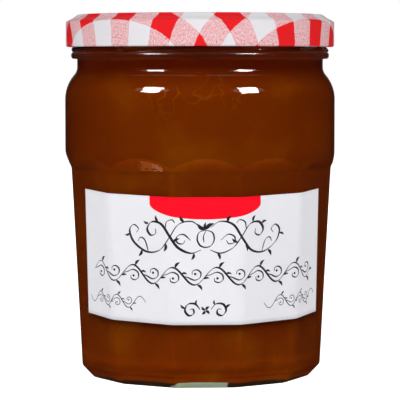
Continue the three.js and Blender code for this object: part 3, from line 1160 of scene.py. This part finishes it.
studio = {
    "cameraDistance": 0.6933,
    "cameraHeight": 0.1007,
    "pitch": radians(3.681),
    "focalPixels": 2145.6,
    "imagePixels": 400,
    "floorSize": 60.0,
    "floor": (0.93, 0.93, 0.93, 1),
    "floorShade": (0.91, 0.91, 0.91, 1),
    "floorMirrored": (0.012, 0.012, 0.012, 1),
    "softboxAngle": radians(44),
    "softboxRise": radians(29.5),
    "softboxDistance": 1.1,
    "softboxSize": (0.38, 0.42),
    "softboxPower": {"Left": 4.1, "Right": 3.4},
    "glintSize": (0.28, 0.28),
    "glintPower": 7.9,
    "glintAhead": 20 * mm,
    "rimLightSize": (0.62, 1.5),
    "rimLightPower": 0.5,
    "rimLightDistance": 0.9,
    "backdrop": 1.0,
    "fill": 0.31,
    "mirrored": 0.004,
    "seenThrough": 0.8,
    "floorGlow": 0.78,
    "floorBounce": 0.08,
    "topLightPlace": (0, -0.85, 0.95),
    "topLightPower": 3.7,
    "backLightPlace": (0.6, 0.9, 0.4),
    "backLightPower": 2.4,
    "fillLightSize": (0.9, 0.6),
    "haloSize": (0.50, 0.15),
    "haloPower": 0.24,
    "tableCardAway": 49 * mm,
    "tableCardHeight": 6.4 * mm,
}
cameraPlace = Vector((0, -studio["cameraDistance"], studio["cameraHeight"]))


# How far a ray is looking straight through the glass, rather than lighting a matt surface
def throughGlass(path):
    firstLook = rangeNode(path.outputs["Diffuse Depth"], 0.0, 1.0, 1.0, 0.0)
    return multiply(path.outputs["Is Transmission Ray"], firstLook)


def buildFloor():
    half = studio["floorSize"] / 2
    vertices = [(-half, -half, 0), (half, -half, 0), (half, half, 0), (-half, half, 0)]
    ground = smoothObject("studioFloor", vertices, [(0, 1, 2, 3)])
    material, tree, shader = newMaterial("paleFloor")
    grain = mottle(objectPlace(tree), 9.0)
    feed(shader.inputs["Base Color"], mixColour(grain, studio["floor"], studio["floorShade"]))
    preset(shader, {"Roughness": 0.9, "Specular IOR Level": 0.0, "Emission Color": (1, 1, 1, 1)})
    path = addNode(tree, "ShaderNodeLightPath")
    mirrored = larger(subtract(path.outputs["Is Glossy Ray"], throughGlass(path)), 0.0)
    matt = path.outputs["Is Diffuse Ray"]
    glow = rangeNode(matt, 0.0, 1.0, studio["floorGlow"], studio["floorBounce"])
    feed(shader.inputs["Emission Strength"], glow)
    dim = addNode(tree, "ShaderNodeBsdfDiffuse")
    preset(dim, {"Color": studio["floorMirrored"]})
    mixShaders(mirrored, shader, dim)
    ground.data.materials.append(material)


# White backdrop for the camera, even fill for matt surfaces, and a dark room in the reflections
def buildWorld():
    world = bpy.data.worlds.new("studioRoom")
    scene.world = world
    world.use_nodes = True
    tree = world.node_tree
    tree.nodes.clear()
    path = addNode(tree, "ShaderNodeLightPath")
    strength = rangeNode(path.outputs["Is Camera Ray"], 0.0, 1.0, studio["fill"], studio["backdrop"])
    glossy = multiply(path.outputs["Is Glossy Ray"], studio["fill"] - studio["mirrored"])
    through = multiply(throughGlass(path), studio["seenThrough"])
    light = addNode(tree, "ShaderNodeBackground")
    preset(light, {"Color": (1, 1, 1, 1)})
    feed(light.inputs["Strength"], add(subtract(strength, glossy), through))
    feed(addNode(tree, "ShaderNodeOutputWorld").inputs["Surface"], light.outputs[0])


lampTarget = Vector((0, 0, 85 * mm))


def buildLamp(name, location, size, power, target=lampTarget):
    lamp = bpy.data.lights.new(name, "AREA")
    lamp.shape = "RECTANGLE"
    lamp.size, lamp.size_y = size
    lamp.energy = power
    box = bpy.data.objects.new(name, lamp)
    scene.collection.objects.link(box)
    box.location = location
    box.rotation_euler = (target - box.location).to_track_quat("-Z", "Y").to_euler()
    box.visible_camera = False
    return box


def onlyMirrored(lamp):
    lamp.visible_diffuse = False
    lamp.visible_transmission = False


glassOnly = bpy.data.collections.new("glintReceivers")
glassOnly.objects.link(clearJar)


# Each softbox is one lamp for the matt surfaces and two ahead of it for the glints in the glass
def buildSoftbox(name, side, power):
    rise = studio["softboxRise"]
    angle = studio["softboxAngle"]
    outward = Vector((side * cos(rise) * sin(angle), -cos(rise) * cos(angle), sin(rise)))
    for kind, ahead in (("softbox", 0), ("glint", studio["glintAhead"]), ("halo", studio["glintAhead"] / 2)):
        place = lampTarget + outward * (studio["softboxDistance"] - ahead)
        strength = power if kind == "softbox" else studio[kind + "Power"]
        lamp = buildLamp(kind + name, place, studio[kind + "Size"], strength)
        if kind == "softbox":
            lamp.visible_glossy = False
        else:
            onlyMirrored(lamp)
            lamp.light_linking.receiver_collection = glassOnly


# Faint light from the backdrop along the edges of the glass
def buildRimLight():
    place = Vector((0, studio["rimLightDistance"], 0.5))
    onlyMirrored(buildLamp("rimLight", place, studio["rimLightSize"], studio["rimLightPower"]))


# Soft light on matt surfaces only: from above on the bevel and the shoulder, and on both sides of the back
def buildFillLight(name, place, power):
    lamp = buildLamp(name, Vector(place), studio["fillLightSize"], power)
    lamp.visible_glossy = False


def buildFillLights():
    buildFillLight("topLight", studio["topLightPlace"], studio["topLightPower"])
    aside, behind, above = studio["backLightPlace"]
    buildFillLight("backLightLeft", (-aside, behind, above), studio["backLightPower"])
    buildFillLight("backLightRight", (aside, behind, above), studio["backLightPower"])


# Small warm cards low on the left, seen in one arch: place of the glint, width, power and colour
tableCards = [
    (Vector((-14.4, -40.6, 71.1)) * mm, 7.2 * mm, 0.00027, (1.0, 0.40, 0.08)),
    (Vector((-12.1, -41.8, 71.1)) * mm, 3.3 * mm, 0.00009, (1.0, 0.60, 0.60)),
]


def buildTableCard(spot, width, power, colour):
    across = jarGlass["turn"] - 2 * halfFacet
    outward = around(1, across, -archSlope).normalized()
    seen = (spot - cameraPlace).normalized()
    place = spot + seen.reflect(outward) * studio["tableCardAway"]
    card = buildLamp("tableCard", place, (width, studio["tableCardHeight"]), power, spot)
    # Turned so that its mirror image in the arch stands upright
    upright = [Vector(v).reflect(outward) for v in ((1, 0, 0), (0, 0, 1), (0, 1, 0))]
    card.rotation_euler = Matrix(upright).transposed().to_euler()
    card.data.color = colour
    onlyMirrored(card)


def buildCamera():
    data = bpy.data.cameras.new("studioCamera")
    data.sensor_width = 36
    data.lens = studio["focalPixels"] / studio["imagePixels"] * data.sensor_width
    data.clip_start = 0.01
    camera = bpy.data.objects.new("studioCamera", data)
    camera.location = cameraPlace
    camera.rotation_euler = (pi / 2 - studio["pitch"], 0, 0)
    scene.collection.objects.link(camera)
    scene.camera = camera


buildFloor()
buildWorld()
for name, side in (("Left", -1), ("Right", 1)):
    buildSoftbox(name, side, studio["softboxPower"][name])
buildRimLight()
buildFillLights()
for card in tableCards:
    buildTableCard(*card)
buildCamera()
print("studio built")
